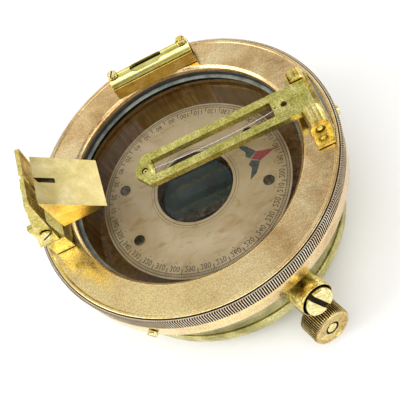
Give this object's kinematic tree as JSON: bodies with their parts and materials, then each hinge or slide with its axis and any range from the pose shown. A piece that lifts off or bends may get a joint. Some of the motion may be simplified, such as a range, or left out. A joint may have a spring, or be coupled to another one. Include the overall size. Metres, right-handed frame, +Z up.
{
  "type": "prismatic sighting compass",
  "caption": "Liquid-filled prismatic sighting compass with a folding hair-line sight, reading prism, spirit level, turning sight ring and clamp knob.",
  "frame": {"origin": "middle of the foot's flat underside, on the axis that the bowl, sight ring and card turn about", "axes": "+Z up through the card, +X from the reading prism to the hinge of the folding sight"},
  "size_m": [0.1316, 0.1397, 0.0936],
  "materials": {
    "base_brass": "yellow-green aged brass",
    "brass": "polished and handled brass",
    "bright_brass": "polished golden brass",
    "dull_brass": "dull greenish brass",
    "bronze": "polished pink bronze, scratched",
    "dark_bronze": "darkened bronze",
    "steel": "machined",
    "black_paint": "black instrument paint",
    "fibre": "matt fibre and rubber",
    "seal": "grey-white aged rubber",
    "card_paint": "yellowed cream paint with a printed scale",
    "glass": "clear"
  },
  "bodies": {
    "base": {"base_casting": "base_brass", "spindle_cap": "base_brass"},
    "clamp_pad": {"clamp_pad": "brass"},
    "clamp_knob": {"clamp_screw": "steel", "clamp_knob": "dark_bronze"},
    "bowl": {"bowl_shell": "dull_brass", "filler_plug": "brass", "filler_washer": "fibre", "bowl_spindle": "steel", "thrust_washer": "fibre", "spindle_washer": "steel", "spindle_nut": "brass", "expansion_diaphragm": "steel", "diaphragm_ring": "brass", "pivot_post": "brass", "pivot_point": "steel", "lower_gasket": "fibre", "window_glass": "glass", "upper_gasket": "seal", "glass_retainer": "black_paint"},
    "card": {"card_disc": "card_paint", "card_float": "black_paint", "jewel_cup": "steel", "card_magnet_left": "steel", "card_magnet_right": "steel", "card_rivet_front_left": "dark_bronze", "card_rivet_front_right": "dark_bronze", "card_rivet_rear_left": "dark_bronze", "card_rivet_rear_right": "dark_bronze"},
    "sight_ring": {"verge_ring": "bronze", "retaining_screw_1": "brass", "retaining_screw_2": "brass", "retaining_screw_3": "brass", "level_block": "bright_brass", "level_tube": "brass", "level_vial": "glass", "level_plug_1": "brass", "level_plug_2": "brass", "level_screw_1": "brass", "level_screw_2": "brass", "sight_bracket": "bright_brass", "sight_hinge_pin": "brass", "prism_block": "bright_brass", "eye_vane": "brass", "vane_screw_left": "brass", "vane_screw_right": "brass"},
    "sight": {"sight_arm": "brass", "sight_wire": "steel", "wire_screw": "brass"},
    "prism": {"prism_case": "brass", "eye_lens": "glass", "prism_glass": "glass", "focus_screw": "brass"}
  },
  "joints": [
    {"name": "bowl_turn", "type": "hinge", "parent": "base", "child": "bowl", "pos_m": [0, 0, 0.02], "axis": [0, 0, 1], "continuous": true},
    {"name": "ring_turn", "type": "hinge", "parent": "bowl", "child": "sight_ring", "pos_m": [0, 0, 0.0463], "axis": [0, 0, 1], "continuous": true},
    {"name": "card_turn", "type": "hinge", "parent": "bowl", "child": "card", "pos_m": [0, 0, 0.0359], "axis": [0, 0, 1], "continuous": true},
    {"name": "sight_fold", "type": "hinge", "parent": "sight_ring", "child": "sight", "pos_m": [0.0553, 0, 0.0623], "axis": [0, 1, 0], "range_deg": [0, 90]},
    {"name": "prism_focus", "type": "slide", "parent": "sight_ring", "child": "prism", "axis": [0, 0, 1], "range_m": [-0.001, 0.003]},
    {"name": "clamp_travel", "type": "slide", "parent": "base", "child": "clamp_pad", "axis": [0.3613, -0.922, 0.1392], "range_m": [0, 0.0016]},
    {"name": "clamp_turn", "type": "hinge", "parent": "clamp_pad", "child": "clamp_knob", "pos_m": [0.0281, -0.07169, 0.0165], "axis": [0.3613, -0.922, 0.1392], "range_deg": [0, 540]}
  ],
  "couplings": [
    {"joint": "clamp_travel", "follows": "clamp_turn", "m_per_rad": 0.00015915}
  ]
}
